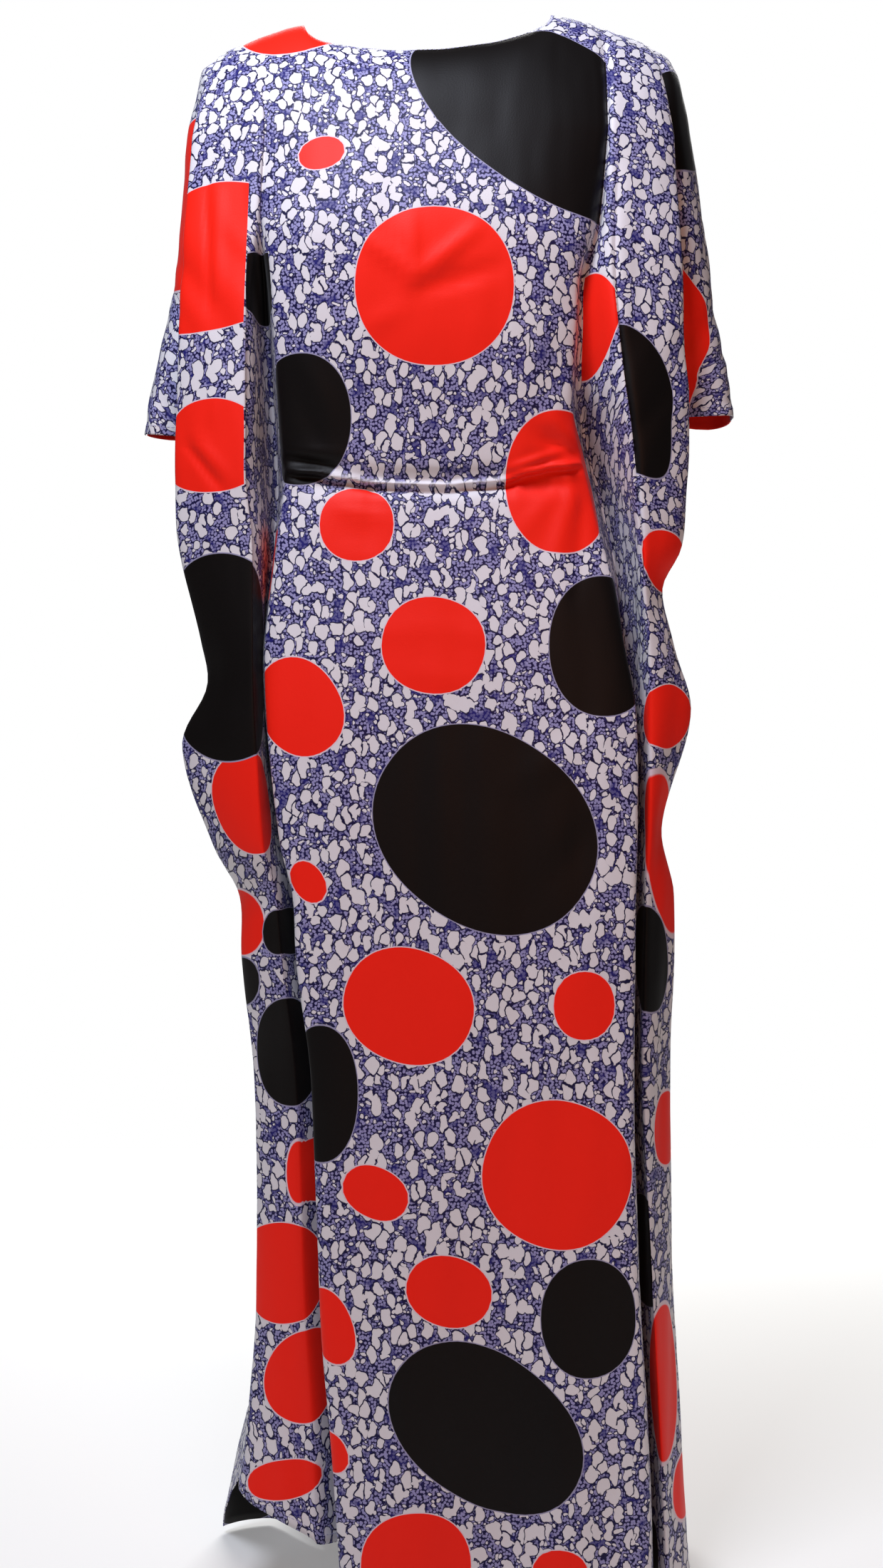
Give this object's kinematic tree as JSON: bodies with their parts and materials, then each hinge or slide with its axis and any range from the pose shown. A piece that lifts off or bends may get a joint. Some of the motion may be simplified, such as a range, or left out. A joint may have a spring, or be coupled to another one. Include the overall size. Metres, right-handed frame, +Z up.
{
  "type": "worn baati dress",
  "caption": "Loose full-length batwing dress of spotted print cloth, hanging in its worn form and open at neck, sleeves and hem.",
  "frame": {"origin": "between the two neck points, where the wearer's shoulders carry the dress", "axes": "+Z up from hem to shoulders, +X to the right of a viewer who faces the front, -Y towards that viewer"},
  "size_m": [0.55, 0.3701, 1.4579],
  "materials": {
    "printed_cloth": "smooth light cotton, blue and white pebble print with red and black spots"
  },
  "bodies": {
    "root": {"front": "printed_cloth", "back": "printed_cloth"}
  },
  "joints": []
}
